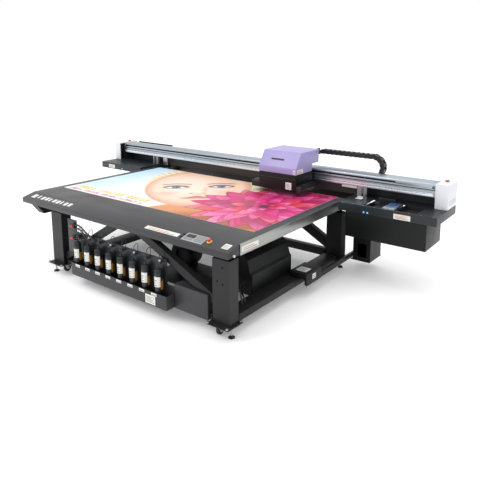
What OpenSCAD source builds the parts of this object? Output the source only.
// Flatbed UV printer: a fixed vacuum bed with a travelling gantry, a print carriage and an ink station.
// Lengths are millimetres. The shapes are laid out from the front edge of the print area, at its
// middle, with z = 0 on the bed; at_floor() then moves them to the machine's own origin, which is on
// the floor under the middle of its outline.

/* [Bed] */
// Height of the bed surface above the floor
bed_h = 700; // [690:1:720]
// Width of the print area
print_w = 2500; // [2400:1:2500]
// Depth of the print area
print_d = 1366; // [1360:1:1366]
// Thickness of the vacuum bed plate
bed_t = 12; // [8:1:12]
// Depth of the flat strip in front of the print area
front_strip = 284; // [270:1:290]
// Depth of the sloped console
console_d = 133; // [125:1:140]
// Drop of the sloped console over its depth
console_drop = 35; // [25:1:38]
// Lower edge of the front panel below the bed surface
fascia_drop = 83; // [75:1:86]
// Thickness of the printed board on the bed
board_t = 3; // [1:0.5:4]

/* [Frame] */
// Width of a leg's box section
leg_w = 160; // [140:1:160]
// Wall of the steel tubes
tube_wall = 5; // [3:0.5:8]
// Height of the base plates above the floor
plate_clear = 103; // [95:1:110]
// Depth of the frame tubes under the bed
chord_h = 47; // [40:1:47]

/* [Gantry] */
// Height of the beam's upper face above the bed
beam_top = 242; // [236:1:246]
// Lower face of the beam above the bed
beam_bottom = 118; // [112:1:120]
// Travel of the gantry from its rear parking place
gantry_travel = 1350; // [1200:10:1350]
// Width of the white cover at the right end of the beam
end_cover_w = 115; // [100:1:125]
// Height of the guide rail on the beam
rail_h = 25; // [20:1:28]

/* [Carriage] */
// Width of the carriage cover
cover_w = 443; // [400:1:460]
// Gap between the carriage and the bed
media_gap = 50; // [45:1:55]
// Number of print heads across the head plate
head_count = 6; // [2:1:8]

/* [Ink station] */
// Number of ink bottles
bottle_count = 8; // [4:1:8]
// Spacing of the ink bottles
bottle_pitch = 150; // [145:1:155]
// Radius of an ink bottle
bottle_r = 34; // [28:1:36]

/* [Energy chain] */
// Height of the chain's cross-section
chain_h = 45; // [35:1:48]
// Width of the chain
chain_w = 75; // [60:1:76]
// Radius of the chain's bend, to the middle of its height
chain_bend_r = 100; // [85:1:105]

/* [Hidden] */
$fn = 48;

// outline of the whole machine, which sets its origin
outline_left = -2126;
outline_right = 2274;
outline_front = -500;
outline_rear = 1706;
slack = 0.5;
eps = 1;

// bed and console
table_left = -1340;
table_right = 1330;
table_mid = (table_left + table_right) / 2;
fold_y = -front_strip;
front_y = fold_y - console_d;
fascia_z = -fascia_drop;
sheet = 4;
border_t = 8;
console_slope = atan(console_drop / console_d);

// frame
leg_top = -92;
leg_bottom = plate_clear - bed_h;
left_leg_x = -842;
right_leg_x = 1184;
front_leg_y = front_y - 1;
front_leg_d = 103;
rear_leg_y = 1270;
rear_leg_d = 96;
plate_t = 10;
brace_d = 60;
beam_x_inner = 1240;
beam_x_outer = 1300;
rail_beam_front = -400;
rail_beam_rear = outline_rear - 6.5;
y_rail_t = 12;
y_rail_bottom = -80;
y_rail_top = -62;
base_beam_h = 57;
rear_base_h = 77;
truss_mid = (left_leg_x + leg_w + right_leg_x) / 2;

// gantry
beam_front = 1446;
beam_rear = 1600;
tray_front = 1152;
tray_rear = 1680;
tray_top = 20;
tray_bottom = -56;
right_tray_x = 1364;
left_tray_x = -1374;
cover_front = 1433;
left_cover_w = 98;
left_cover_front = 1381;
cover_top = 244;
box_right = 2191;
box_left = 1440;
box_rear = 1548;
box_bottom = -294;
saddle_front = 1400;
saddle_rear = 1640;
saddle_t = 18;
recess = [1600, 2100, 1178, 1440];

// carriage
cover_left = 491;
cover_right = cover_left + cover_w;
carriage_front = 1094;
carriage_rear = 1398;
base_top = 216;
wing_top = 112;
lamp_w = 94;
head_drop = 22;

// chain
chain_y = 1615;
loop_x = 1480;
loop_z = 287.5;
chain_fixed_x = 450;
chain_start_x = 905;
trough_z = 155;

// ink station
first_bottle_x = -437;
bottle_y = -452;
tray_left = -487;
tray_right = 785;
ink_tray_top = -480;
ink_tray_floor = leg_bottom + 2;
bottle_top = -345;
cap_top = -296;

// routes of the held hoses and cables, in order along each one
ink_hoses = [
    [[-455, -430, -158], [-444, -430, -158], [-428, -431, -152], [-390, -432, -150], [-340, -432, -170],
     [-290, -432, -198], [-240, -432, -218], [-210, -432, -234], [-192, -430, -245],
     [-184, -424, -250], [-182, -418, -251], [-182, -412.5, -251]],
    [[-455, -430, -186], [-444, -430, -186], [-428, -431, -183], [-390, -432, -182], [-350, -432, -198],
     [-320, -432, -224], [-304, -430, -240], [-297, -424, -247], [-295, -418, -248],
     [-295, -412.5, -248]],
    [[-455, -430, -278], [-444, -430, -278], [-428, -431, -276], [-390, -432, -270], [-350, -432, -270],
     [-332, -430, -272], [-322, -424, -273], [-319, -418, -273], [-319, -412.5, -273]]
];
cabinet_cables = [
    [[1120, 54.5, -500], [1122, 20, -500], [1135, -20, -495], [1165, -55, -490],
     [1200, -80, -500], [1225, -95, -515], [1232, -100, -530], [1232, -100, -539.5]],
    [[1120, 54.5, -450], [1122, 10, -450], [1140, -40, -445], [1175, -90, -450],
     [1215, -125, -480], [1235, -140, -510], [1240, -143, -529], [1240, -143, -539.5]]
];

module at_floor() {
    translate([-(outline_left + outline_right) / 2, -(outline_front + outline_rear) / 2, bed_h])
        children();
}

// a box between two corners
module block(x0, x1, y0, y1, z0, z1) {
    translate([x0, y0, z0]) cube([x1 - x0, y1 - y0, z1 - z0]);
}

// an outline in X and Z, run along Y
module along_y(points, y0, y1) {
    translate([0, y1, 0]) rotate([90, 0, 0]) linear_extrude(y1 - y0) polygon(points);
}

// an outline in Y and Z, run along X
module along_x(points, x0, x1) {
    translate([x0, 0, 0]) rotate([90, 0, 90]) linear_extrude(x1 - x0) polygon(points);
}

// a round bar between two heights
module post(x, y, r, z0, z1) {
    translate([x, y, z0]) cylinder(h = z1 - z0, r = r);
}

// rectangular steel tubes, open at both ends
module tube_x(x0, x1, y0, y1, z0, z1) {
    difference() {
        block(x0, x1, y0, y1, z0, z1);
        block(x0 - eps, x1 + eps, y0 + tube_wall, y1 - tube_wall, z0 + tube_wall, z1 - tube_wall);
    }
}
module tube_y(x0, x1, y0, y1, z0, z1) {
    difference() {
        block(x0, x1, y0, y1, z0, z1);
        block(x0 + tube_wall, x1 - tube_wall, y0 - eps, y1 + eps, z0 + tube_wall, z1 - tube_wall);
    }
}
module tube_z(x0, x1, y0, y1, z0, z1) {
    difference() {
        block(x0, x1, y0, y1, z0, z1);
        block(x0 + tube_wall, x1 - tube_wall, y0 + tube_wall, y1 - tube_wall, z0 - eps, z1 + eps);
    }
}

// a sheet-metal box with one side left open: [left, right, front, rear, bottom, top]
module open_box(b, wall, open) {
    difference() {
        block(b[0], b[1], b[2], b[3], b[4], b[5]);
        block(b[0] + (open == "left" ? -eps : wall), b[1] - (open == "right" ? -eps : wall),
              b[2] + wall, b[3] - wall,
              b[4] + (open == "bottom" ? -eps : wall), b[5] - (open == "top" ? -eps : wall));
    }
}

// places a shape on the sloped console, d down the slope from the fold
module on_console(x, d) {
    translate([x, fold_y, 0]) rotate([console_slope, 0, 0]) translate([0, -d, 0]) children();
}

// the same shape on the table's left side, about the table's middle
module mirrored() {
    translate([2 * table_mid, 0, 0]) mirror([1, 0, 0]) children();
}

// unit vector, and a ring of points square to a direction
function unit(v) = v / norm(v);
function side_of(d) = abs(d[2]) > 0.9 * norm(d) ? [1, 0, 0] : unit(cross(d, [0, 0, 1]));
function heading(p, i) = unit(p[min(i + 1, len(p) - 1)] - p[max(i - 1, 0)]);
function ring(c, d, r, n) = [
    for (k = [0:n - 1])
        let (u = side_of(d), v = cross(u, d), a = 360 * k / n) c + r * (u * cos(a) + v * sin(a))
];

// a hose swept along a route
module hose(route, r, n = 8) {
    m = len(route);
    points = [for (i = [0:m - 1]) each ring(route[i], heading(route, i), r, n)];
    walls = [
        for (i = [0:m - 2], k = [0:n - 1])
            [i * n + k, (i + 1) * n + k, (i + 1) * n + (k + 1) % n, i * n + (k + 1) % n]
    ];
    near_end = [for (k = [0:n - 1]) k];
    far_end = [for (k = [n - 1:-1:0]) (m - 1) * n + k];
    polyhedron(points, concat(walls, [near_end, far_end]), convexity = 4);
}

// ---------------------------------------------------------------- frame

module base_plate(x, y, d) {
    overhang = 26;
    block(x - overhang, x + leg_w + overhang - 3, y - 47, y + d + overhang, leg_bottom,
          leg_bottom + plate_t);
}

module legs() {
    color("#2b2b2d") at_floor() {
        shaft_z = leg_bottom + plate_t;
        rear_right_top = leg_top - 33;
        for (x = [left_leg_x, right_leg_x]) {
            difference() {
                tube_z(x, x + leg_w, front_leg_y, front_leg_y + front_leg_d, shaft_z, leg_top);
                if (x == right_leg_x)
                    for (hole = [[95, -150], [45, -262], [98, -277]])
                        translate([x + hole[0], front_leg_y + tube_wall + eps, hole[1]])
                            rotate([90, 0, 0]) cylinder(h = tube_wall + 2 * eps, r = 7);
            }
            base_plate(x, front_leg_y, front_leg_d);
        }
        tube_z(left_leg_x, left_leg_x + leg_w, rear_leg_y, rear_leg_y + rear_leg_d, shaft_z, leg_top);
        base_plate(left_leg_x, rear_leg_y, rear_leg_d);
        difference() {
            tube_z(right_leg_x, right_leg_x + leg_w, rear_leg_y, rear_leg_y + rear_leg_d, shaft_z,
                   leg_top);
            block(beam_x_outer, right_leg_x + leg_w + eps, rear_leg_y - eps,
                  rear_leg_y + rear_leg_d + eps, rear_right_top, leg_top + eps);
        }
        base_plate(right_leg_x, rear_leg_y, rear_leg_d);
    }
}

module base_beams() {
    color("#303032") at_floor() {
        front = front_leg_y + front_leg_d + 27;
        rear = rear_leg_y - 48;
        top = leg_bottom + base_beam_h;
        for (x = [left_leg_x + 16, right_leg_x])
            tube_y(x, x + leg_w - 16, front, rear, leg_bottom, top);
        cross_left = left_leg_x + leg_w + 25;
        cross_right = right_leg_x - 28;
        tube_x(cross_left, cross_right, 1290, 1290 + brace_d, leg_bottom, leg_bottom + rear_base_h);
        tube_x(cross_left, cross_right, -395, -395 + brace_d, leg_bottom, leg_bottom + 52);
        for (y = [110, 530])
            block(885, right_leg_x - slack, y, y + 50, leg_bottom, leg_bottom + 32);
        tube_y(1371, 1395, 560, 1600, leg_bottom, leg_bottom + 50);
    }
}

module upper_frame() {
    color("#2b2b2d") at_floor() {
        bottom = leg_top;
        top = leg_top + chord_h;
        left = -2 * beam_x_inner / 2 + 2 * table_mid;
        for (span = [[-395, -325], [250, 310], [780, 840], [1296, 1366]])
            tube_x(left + slack, beam_x_inner - slack, span[0], span[1], bottom, top);
        for (x = [left_leg_x, beam_x_inner - 104])
            for (span = [[-325, 250], [310, 780], [840, 1296]])
                tube_y(x, x + 100, span[0] + slack, span[1] - slack, bottom, top);
        tube_y(beam_x_inner, beam_x_outer, rail_beam_front, rail_beam_rear, bottom, top);
        mirrored() tube_y(beam_x_inner, beam_x_outer, rail_beam_front, rail_beam_rear, bottom, top);
        // housing of the drive belt's front pulley, under the left end of the bed
        along_y_housing = [[-340, -124], [-340, -94], [-100, -94], [-100, -200], [-118, -215],
                           [-272, -215]];
        along_x(along_y_housing, -1306, -1206);
    }
}

// braces of the front and rear trusses, each a leaning A
module truss_braces() {
    color("#343436") at_floor() {
        left = left_leg_x + leg_w + slack;
        right = right_leg_x - slack;
        top = leg_top - slack;
        along_y([[left, -551], [86, top], [-46, top], [left, -474]], -392, -392 + brace_d);
        along_y([[322, top], [495, top], [right, -398], [right, -475]], -392, -392 + brace_d);
        rear = [[397, top], [606, top], [right, -410], [right, -517]];
        along_y(rear, 1290, 1290 + brace_d);
        translate([2 * truss_mid, 0, 0]) mirror([1, 0, 0]) along_y(rear, 1290, 1290 + brace_d);
    }
}

module y_rails() {
    color("#b9bdc2") at_floor() {
        block(beam_x_outer, beam_x_outer + y_rail_t, -240, 1690, y_rail_bottom, y_rail_top);
        mirrored()
            block(beam_x_outer, beam_x_outer + y_rail_t, -240, 1690, y_rail_bottom, y_rail_top);
    }
}

module levelling_feet() {
    color("#3c3d3f") at_floor() {
        spots = [[1312, -358], [1302, 1356], [-850, -395], [-850, 1350]];
        for (s = spots) {
            post(s[0], s[1], 26, -bed_h, -bed_h + 9);
            translate([s[0], s[1], -bed_h + 9]) cylinder(h = 9, r1 = 22, r2 = 11);
            post(s[0], s[1], 7, -bed_h + 10, leg_bottom);
            post(s[0], s[1], 12, leg_bottom - 12, leg_bottom);
        }
    }
}

// ---------------------------------------------------------------- bed

module vacuum_bed() {
    color("#8b8d90") at_floor() difference() {
        block(-print_w / 2, print_w / 2, 0, print_d, -bed_t, 0);
        for (i = [0:10], j = [0:5])
            post(-1150 + 230 * i, 120 + 225 * j, 3, -bed_t - eps, eps);
    }
}

module bed_border() {
    color("#4a4a4c") at_floor() difference() {
        block(table_left, table_right, fold_y, print_d, -border_t, 0);
        block(-print_w / 2 - slack, print_w / 2 + slack, -slack, print_d + eps, -border_t - eps, eps);
    }
}

module vacuum_plenum() {
    color("#6c6f73") at_floor() difference() {
        block(-1240, 1225, 10, 1350, -43, -bed_t);
        for (i = [0:2])
            block(-1236 + 821 * i, -1236 + 821 * i + 815, 14, 1346, -40, -bed_t + eps);
        post(330, 200, 55, -50, -30);
    }
}

module vacuum_blower() {
    color("#3a3f3c") at_floor() {
        blower_x = 330;
        blower_y = 200;
        blower_z = -425;
        difference() {
            union() {
                translate([blower_x, blower_y + 80, blower_z]) rotate([90, 0, 0])
                    cylinder(h = 160, r = 118);
                block(blower_x + 10, blower_x + 118, blower_y - 60, blower_y + 60, blower_z, -310);
                block(blower_x - 70, blower_x + 70, blower_y - 70, blower_y + 70, -553, blower_z - 90);
            }
            translate([blower_x, blower_y - 60, blower_z]) rotate([90, 0, 0])
                cylinder(h = 30, r = 60);
        }
        translate([blower_x, blower_y + 80, blower_z]) rotate([-90, 0, 0]) cylinder(h = 150, r = 70);
        post(blower_x + 64, blower_y, 45, -311, -94);
    }
}

module console_apron() {
    color("#505154") at_floor() {
        skin = 8;
        outer = [[fold_y, 0], [front_y, -console_drop], [front_y, fascia_z]];
        inner = [[front_y + skin, fascia_z], [front_y + skin, -console_drop - 6], [fold_y, -skin]];
        along_x(concat(outer, inner), table_left, table_right);
        cap = concat(outer, [[fold_y, fascia_z]]);
        along_x(cap, table_left, table_left + sheet);
        along_x(cap, table_right - sheet, table_right);
    }
}

module side_plates() {
    color("#a9aca8") at_floor() {
        block(table_right, table_right + sheet, fold_y + 4, print_d, -88, 0);
        block(table_left - sheet, table_left, fold_y + 4, print_d, -88, 0);
    }
}

module rear_cover() {
    color("#4b4846") at_floor()
        block(-1460, beam_x_outer, outline_rear - 6, outline_rear, -112, 18);
}

module printed_board() {
    color("#f0c6cf") at_floor()
        block(-print_w / 2, print_w / 2, 0, print_d, 0, board_t);
}

module control_keypad() {
    color("#b9babb") at_floor() {
        on_console(850, 118) cube([212, 98, 3]);
        on_console(1098, 64) difference() {
            cylinder(h = 9, r = 21);
            translate([0, 0, -eps]) cylinder(h = 11, r = 8.5);
        }
    }
}

// the mushroom head and stem of an emergency stop, with its seat at z = 0
module stop_button(r) {
    cylinder(h = 9, r = 8);
    translate([0, 0, 8]) cylinder(h = 4, r1 = 10, r2 = r);
    translate([0, 0, 12]) cylinder(h = 5, r = r);
    translate([0, 0, 17]) cylinder(h = 4, r1 = r, r2 = r - 5);
}

module front_stop_button() {
    color("#c8141c") at_floor()
        on_console(1098, 64) translate([0, 0, 5.5]) stop_button(15);
}

// ---------------------------------------------------------------- under the bed

module electronics_cabinet() {
    color("#1f2222") at_floor() {
        outline = [[885, -565], [1182, -565], [1182, -385], [1166, -372], [1140, -277], [1090, -233],
                   [960, -175], [885, -160]];
        inside = [[888, -562], [1179, -562], [1179, -387], [1163, -374], [1137, -280], [1088, -236],
                  [959, -178], [888, -164]];
        difference() {
            along_y(outline, 55, 640);
            along_y(inside, 58, 637);
            block(1170, 1190, 80, 585, -525, -405);
        }
        block(1182, 1189, 58, 612, -538, -387);
        // pan that carries the vacuum blower
        block(190, 885.5, -149, 320, -564, -554);
    }
}

module interface_box() {
    color("#232426") at_floor() {
        top = -490;
        seat = leg_bottom + base_beam_h + slack;
        along_y([[1228, seat], [1395.5, seat], [1395.5, leg_bottom], [1402, leg_bottom], [1402, top],
                 [1228, top]], 540, 796);
    }
}

module ink_cabinet() {
    color("#3a3a3d") at_floor() {
        front = front_leg_y;
        difference() {
            along_x([[front, leg_bottom], [-397, leg_bottom], [-397, -543], [-150, -543],
                     [-150, -397], [front, -397]], 790, 1135);
            // channel for the truss brace
            along_y([[318, leg_top], [497, leg_top], [1190, -390], [1190, -484]], -394,
                    -390 + brace_d);
        }
    }
}

module ink_tray() {
    color("#434347") at_floor() {
        open_box([tray_left + 54, tray_right, outline_front, -404, ink_tray_floor, ink_tray_top], 3,
                 "top");
        block(tray_left, tray_right, -403.5, -396, ink_tray_floor, -430);
        block(tray_left, tray_left + 54, -460, -403.5, ink_tray_floor, ink_tray_floor + 3);
    }
}

module bottle_places() {
    for (i = [0:bottle_count - 1])
        translate([first_bottle_x + 42 + bottle_pitch * i, bottle_y, 0]) children();
}

module ink_bottles() {
    color("#1c1c1e") at_floor() bottle_places() {
        shoulder = bottle_top - 26;
        translate([0, 0, ink_tray_floor + 3.2]) cylinder(h = 4, r1 = bottle_r - 4, r2 = bottle_r);
        translate([0, 0, ink_tray_floor + 7.2])
            cylinder(h = shoulder - ink_tray_floor - 7.2, r = bottle_r);
        translate([0, 0, shoulder]) cylinder(h = 10, r1 = bottle_r, r2 = bottle_r - 8);
        translate([0, 0, shoulder + 10]) cylinder(h = 16, r = bottle_r - 8);
    }
}

module ink_bottle_caps() {
    color("#2a2b2e") at_floor() bottle_places() {
        translate([0, 0, bottle_top + 0.2]) cylinder(h = 40, r = bottle_r - 2);
        translate([0, 0, bottle_top + 40.2]) cylinder(h = 9, r1 = bottle_r - 2, r2 = bottle_r - 10);
        translate([0, 0, bottle_top + 49.2]) cylinder(h = 16, r = 9);
    }
}

module bottle_bracket() {
    color("#33383d") at_floor() {
        block(tray_left - 3, 705, -412, -404, -429.5, -224);
        for (i = [0:bottle_count - 1])
            block(first_bottle_x + 22 + bottle_pitch * i, first_bottle_x + 62 + bottle_pitch * i, -452,
                  -412, -252, -240);
        // valve post
        block(-590, -458, -412, -404, -429.5, -120);
        for (z = [-167, -278])
            block(-492, -456, -440, -412, z - 22, z + 22);
    }
}

module valve_knob(z) {
    translate([-475, -440.4, z]) rotate([90, 0, 0]) {
        cylinder(h = 12, r = 9);
        translate([-24, -6, 8]) cube([48, 12, 10]);
    }
}

module upper_valve_knob() {
    color("#c8202c") at_floor() valve_knob(-167);
}

module lower_valve_knob() {
    color("#c8202c") at_floor() valve_knob(-278);
}

module hoses_and_cables() {
    color("#1b1b1d") at_floor() {
        for (route = ink_hoses) hose(route, 8);
        for (route = cabinet_cables) hose(route, 7);
    }
}

// ---------------------------------------------------------------- casters

caster_spots = [[-755, -366], [1215, -400], [-745, 1300], [1205, 1280]];
wheel_r = 37;
trail = 28;
axle_z = -bed_h + 4 + wheel_r;

module caster_fork(i) {
    color("#232426") at_floor() translate([caster_spots[i][0], caster_spots[i][1], 0]) {
        block(-36, 36, -36, 36, leg_bottom - 6.3, leg_bottom - 0.3);
        post(0, 0, 24, leg_bottom - 16, leg_bottom - 6);
        for (x = [-19, 15])
            along_x([[-16, leg_bottom - 16], [20, leg_bottom - 16], [trail + 14, axle_z - 12],
                     [trail - 14, axle_z - 12]], x, x + 4);
        block(-19, 19, -16, 20, leg_bottom - 20, leg_bottom - 14);
        translate([-21, trail, axle_z]) rotate([0, 90, 0]) cylinder(h = 42, r = 5);
    }
}

module caster_wheel(i) {
    color("#151516") at_floor()
        translate([caster_spots[i][0], caster_spots[i][1] + trail, axle_z]) rotate([0, 90, 0])
            difference() {
                union() {
                    translate([0, 0, -12]) cylinder(h = 24, r = wheel_r);
                    translate([0, 0, -14]) cylinder(h = 28, r = wheel_r - 12);
                }
                translate([0, 0, -15]) cylinder(h = 30, r = 5.05);
            }
}

module caster_fork_front_left() caster_fork(0);
module caster_fork_front_right() caster_fork(1);
module caster_fork_rear_left() caster_fork(2);
module caster_fork_rear_right() caster_fork(3);
module caster_wheel_front_left() caster_wheel(0);
module caster_wheel_front_right() caster_wheel(1);
module caster_wheel_rear_left() caster_wheel(2);
module caster_wheel_rear_right() caster_wheel(3);

// ---------------------------------------------------------------- gantry

module gantry_beam() {
    color("#aab2ba") at_floor() {
        left = outline_left + end_cover_w + slack;
        right = outline_right - end_cover_w - slack;
        rail_seat = 166;
        outline = [[beam_front, rail_seat], [beam_front, beam_top], [beam_rear, beam_top],
                   [beam_rear, beam_bottom], [beam_front + 6, beam_bottom], [beam_front + 6, rail_seat]];
        difference() {
            along_x(outline, left, right);
            block(left - eps, right + eps, beam_front + 16, beam_rear - 10, beam_bottom + 10,
                  beam_top - 10);
            // T-slot along the front, above the rail
            block(left - eps, right + eps, beam_front - eps, beam_front + 8, 186, 204);
        }
    }
}

module x_rail() {
    color("#d5dade") at_floor()
        block(-1990, 2140, beam_front - 14, beam_front + 6, 130, 130 + rail_h);
}

module gantry_back_panel() {
    color("#4b4846") at_floor()
        block(-1240, right_tray_x + 38, 1500, 1506, tray_top + 2, beam_bottom);
}

// the bracket that joins the beam to the bearing on one of the bed's rails
module upright(front) {
    column_foot = tray_bottom - 41;
    block(1424, 1492, front + 28, beam_rear - 12, column_foot, beam_bottom);
    block(1411, 1454, front, front + 24, tray_top, beam_bottom);
    block(1484, 1508, front, front + 24, tray_top, beam_bottom);
    block(1411, 1508, front + 24, front + 28, tray_top, beam_bottom);
    block(beam_x_outer + 2, 1510, saddle_front, saddle_rear, column_foot - saddle_t, column_foot);
    difference() {
        block(beam_x_outer + 1, beam_x_outer + 26, saddle_front + 20, saddle_rear - 20, column_foot,
              -47);
        block(beam_x_outer, beam_x_outer + y_rail_t + 0.4, saddle_front, saddle_rear,
              y_rail_bottom - 0.4, y_rail_top + 0.4);
    }
}

module gantry_uprights() {
    color("#b4bac0") at_floor() {
        upright(1450);
        mirrored() upright(1500);
        // lugs under the beam beside the two uprights
        block(1245, 1400, 1453, 1459, 96, beam_bottom);
        block(-1282, -1206, 1453, 1461, tray_top + 2, beam_bottom);
    }
}

module right_station_tray() {
    color("#33383d") at_floor() {
        difference() {
            open_box([right_tray_x, outline_right, tray_front, tray_rear, tray_bottom, tray_top], sheet,
                     "bottom");
            block(recess[0], recess[1], recess[2], recess[3], -eps, tray_top + eps);
            block(1423.5, 1492.5, 1477.5, beam_rear - 11.5, -eps, tray_top + eps);
        }
        block(1424, outline_right - end_cover_w - eps, beam_rear - 10, beam_rear - 6, tray_top,
              beam_bottom);
    }
}

module left_station_tray() {
    color("#33383d") at_floor() {
        difference() {
            open_box([outline_left, left_tray_x, tray_front, tray_rear, tray_bottom, tray_top], sheet,
                     "bottom");
            block(-1502.5, -1433.5, 1527.5, beam_rear - 11.5, -eps, tray_top + eps);
        }
        block(outline_left + end_cover_w + eps, -1300, beam_rear - 10, beam_rear - 6, tray_top,
              beam_bottom);
        block(outline_left + left_cover_w + slack, outline_left + end_cover_w, 1440, beam_rear,
              tray_top, cover_top - 6);
    }
}

module station_electronics_box() {
    color("#161819") at_floor() difference() {
        open_box([box_left, box_right, tray_front + 8, box_rear, box_bottom, tray_bottom - slack], 3,
                 "top");
        // relief for the bearing bracket
        block(box_left - eps, 1512, saddle_front - 2, box_rear + eps, tray_bottom - 41 - saddle_t - 2,
              tray_bottom);
    }
}

module waste_ink_box() {
    color("#1a1b1b") at_floor() {
        left = 1420;
        right = 1600;
        front = 1383;
        rear = 1626;
        top = box_bottom - slack;
        block(left - 16, right, front - 12, rear + 12, leg_bottom, leg_bottom + 8);
        difference() {
            open_box([left, right, front, rear, leg_bottom + 8, top], 3, "top");
            block(left + 45, right - 40, front - eps, front + 4, -560, -425);
        }
        open_box([left, right, box_rear + 6, rear, top, tray_bottom - 41 - saddle_t - slack], 3, "top");
    }
}

module end_cover(x0, w, front) {
    difference() {
        along_x([[front, tray_top + 0.3], [front, cover_top - 5], [front + 5, cover_top],
                 [tray_rear - 5, cover_top], [tray_rear, cover_top - 5], [tray_rear, tray_top + 0.3]],
                x0, x0 + w);
        block(x0 + sheet, x0 + w - sheet, front + sheet, tray_rear - sheet, tray_top - eps,
              cover_top - sheet);
    }
}

module right_end_cover() {
    color("#e6e8ec") at_floor() difference() {
        end_cover(outline_right - end_cover_w, end_cover_w, cover_front);
        post(2211, 1585, 8.5, cover_top - 10, cover_top + eps);
    }
}

module left_end_cover() {
    color("#e6e8ec") at_floor() difference() {
        end_cover(outline_left, left_cover_w, left_cover_front);
        post(-2064, 1575, 8.5, cover_top - 10, cover_top + eps);
    }
}

module right_stop_button() {
    color("#c8141c") at_floor() translate([2211, 1585, cover_top - 2]) stop_button(20);
}

module left_stop_button() {
    color("#c8141c") at_floor() translate([-2064, 1575, cover_top - 2]) stop_button(20);
}

// black louvred cleaning deck, the open flushing box beside it and the sensor block behind them
module cleaning_station() {
    color("#141516") at_floor() {
        difference() {
            block(1612, 1764, recess[2] + 4, recess[3] - 4, tray_bottom + 8, 14);
            block(1622, 1692, 1192, 1392, -24, 15);
            for (i = [0:4])
                block(1700 + 12 * i, 1706 + 12 * i, 1196, 1424, 6, 15);
        }
        open_box([1906, 2092, recess[2] + 4, recess[3] - 4, tray_bottom + 8, 17], 3, "top");
        block(1633, 1800, 1446, 1482, tray_top + 0.2, tray_top + 24);
        block(1446, 1512, 1330, 1378, tray_top + 0.2, tray_top + 6);
    }
}

module cap_unit() {
    color("#8fa0b4") at_floor() difference() {
        block(1780, 1894, recess[2] + 6, 1396, tray_bottom + 8, 27);
        for (i = [0:2])
            block(1786 + 36 * i, 1816 + 36 * i, 1196, 1384, 20, 28);
    }
}

module wiper() {
    color("#e4e6e8") at_floor() {
        block(1626, 1688, 1348, 1380, -23, 8);
        block(1632, 1682, 1362, 1366, 7, 27);
    }
}

module chain_trough() {
    color("#1d1e20") at_floor() {
        left = outline_left + end_cover_w + 4;
        right = outline_right - end_cover_w - 4;
        block(left, right, beam_rear + 0.3, 1696, trough_z, trough_z + 3);
        block(left, right, beam_rear + 0.3, beam_rear + 5, trough_z, trough_z + 50);
        block(left, -1352, 1693, 1696, trough_z, 237);
        block(-1352, right, 1693, 1696, trough_z, trough_z + 30);
    }
}

module chain_lower_run() {
    color("#19191b") at_floor()
        block(chain_fixed_x, loop_x, chain_y, chain_y + chain_w, loop_z - chain_bend_r - chain_h / 2,
              loop_z - chain_bend_r + chain_h / 2);
}

module chain_loop() {
    color("#19191b") at_floor() difference() {
        translate([loop_x, chain_y + chain_w, loop_z]) rotate([90, 0, 0])
            cylinder(h = chain_w, r = chain_bend_r + chain_h / 2, $fn = 96);
        translate([loop_x, chain_y + chain_w + eps, loop_z]) rotate([90, 0, 0])
            cylinder(h = chain_w + 2 * eps, r = chain_bend_r - chain_h / 2, $fn = 96);
        block(loop_x - 200, loop_x, chain_y - eps, chain_y + chain_w + eps, loop_z - 200, loop_z + 200);
    }
}

// ---------------------------------------------------------------- carriage

module carriage_truck() {
    color("#2f3134") at_floor() difference() {
        block(560, 900, carriage_rear + 2, beam_front - 0.6, 121, 164);
        block(550, 910, beam_front - 14.4, beam_front, 129.6, 130.4 + rail_h);
    }
}

module carriage_base() {
    color("#26282b") at_floor() {
        wall = 12;
        difference() {
            block(cover_left, cover_right, carriage_front + 4, carriage_rear + 2, media_gap, base_top);
            block(cover_left + wall, cover_right - wall, carriage_front + 4 + wall,
                  carriage_rear + 2 - wall, media_gap - eps, base_top - wall);
        }
    }
}

module carriage_cover() {
    color("#9a90cb") at_floor() {
        wall = 4;
        outline = [[1094, 218], [1094, 280], [1190, 428], [1530, 428], [1530, 292], [1398, 292],
                   [1398, 218]];
        inside = [[1098, 217], [1098, 279], [1192, 424], [1526, 424], [1526, 296], [1394, 296],
                  [1394, 217]];
        difference() {
            along_x(outline, cover_left, cover_right);
            along_x(inside, cover_left + wall, cover_right - wall);
        }
    }
}

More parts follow.
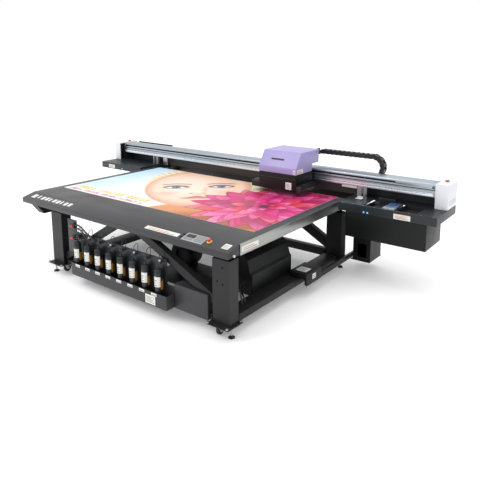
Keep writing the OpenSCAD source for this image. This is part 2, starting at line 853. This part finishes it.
module uv_lamps() {
    color("#1b1c1e") at_floor() {
        right_lamp_w = 52;
        for (span = [[cover_left - lamp_w - slack, cover_left - slack],
                     [cover_right + slack, cover_right + right_lamp_w]])
            difference() {
                block(span[0], span[1], carriage_front + 8, carriage_rear - 6, media_gap, wing_top);
                block(span[0] + 12, span[1] - 12, carriage_front + 30, carriage_rear - 30,
                      media_gap - eps, media_gap + 6);
            }
    }
}

module chain_bracket() {
    color("#222325") at_floor() {
        block(850, chain_start_x - slack, 1530.3, chain_y + chain_w, 362, 367);
        block(850, 855, 1530.3, chain_y + chain_w, 366, 412);
    }
}

module chain_upper_run() {
    color("#19191b") at_floor()
        block(chain_start_x, loop_x, chain_y, chain_y + chain_w, loop_z + chain_bend_r - chain_h / 2,
              loop_z + chain_bend_r + chain_h / 2);
}

module head_plate() {
    color("#c2c5c8") at_floor()
        block(cover_left + 15, cover_right - 15, carriage_front + 19, carriage_rear - 13, 86, 96);
}

module print_heads() {
    color("#5a5e63") at_floor() {
        pitch = (cover_w - 60) / head_count;
        for (i = [0:head_count - 1])
            block(cover_left + 30 + pitch * i + 8, cover_left + 30 + pitch * (i + 1) - 8,
                  carriage_front + 60, carriage_rear - 60, media_gap + 3, 85.8);
    }
}

legs();
base_beams();
upper_frame();
truss_braces();
y_rails();
vacuum_bed();
bed_border();
vacuum_plenum();
vacuum_blower();
console_apron();
side_plates();
rear_cover();
control_keypad();
electronics_cabinet();
interface_box();
ink_tray();
ink_bottles();
ink_bottle_caps();
bottle_bracket();
hoses_and_cables();
ink_cabinet();
printed_board();
levelling_feet();
front_stop_button();
upper_valve_knob();
lower_valve_knob();
caster_fork_front_left();
caster_fork_front_right();
caster_fork_rear_left();
caster_fork_rear_right();
caster_wheel_front_left();
caster_wheel_front_right();
caster_wheel_rear_left();
caster_wheel_rear_right();
gantry_beam();
x_rail();
gantry_back_panel();
gantry_uprights();
right_station_tray();
left_station_tray();
station_electronics_box();
waste_ink_box();
right_end_cover();
left_end_cover();
cleaning_station();
cap_unit();
wiper();
chain_trough();
chain_lower_run();
chain_loop();
right_stop_button();
left_stop_button();
carriage_truck();
carriage_base();
carriage_cover();
uv_lamps();
chain_bracket();
chain_upper_run();
head_plate();
print_heads();
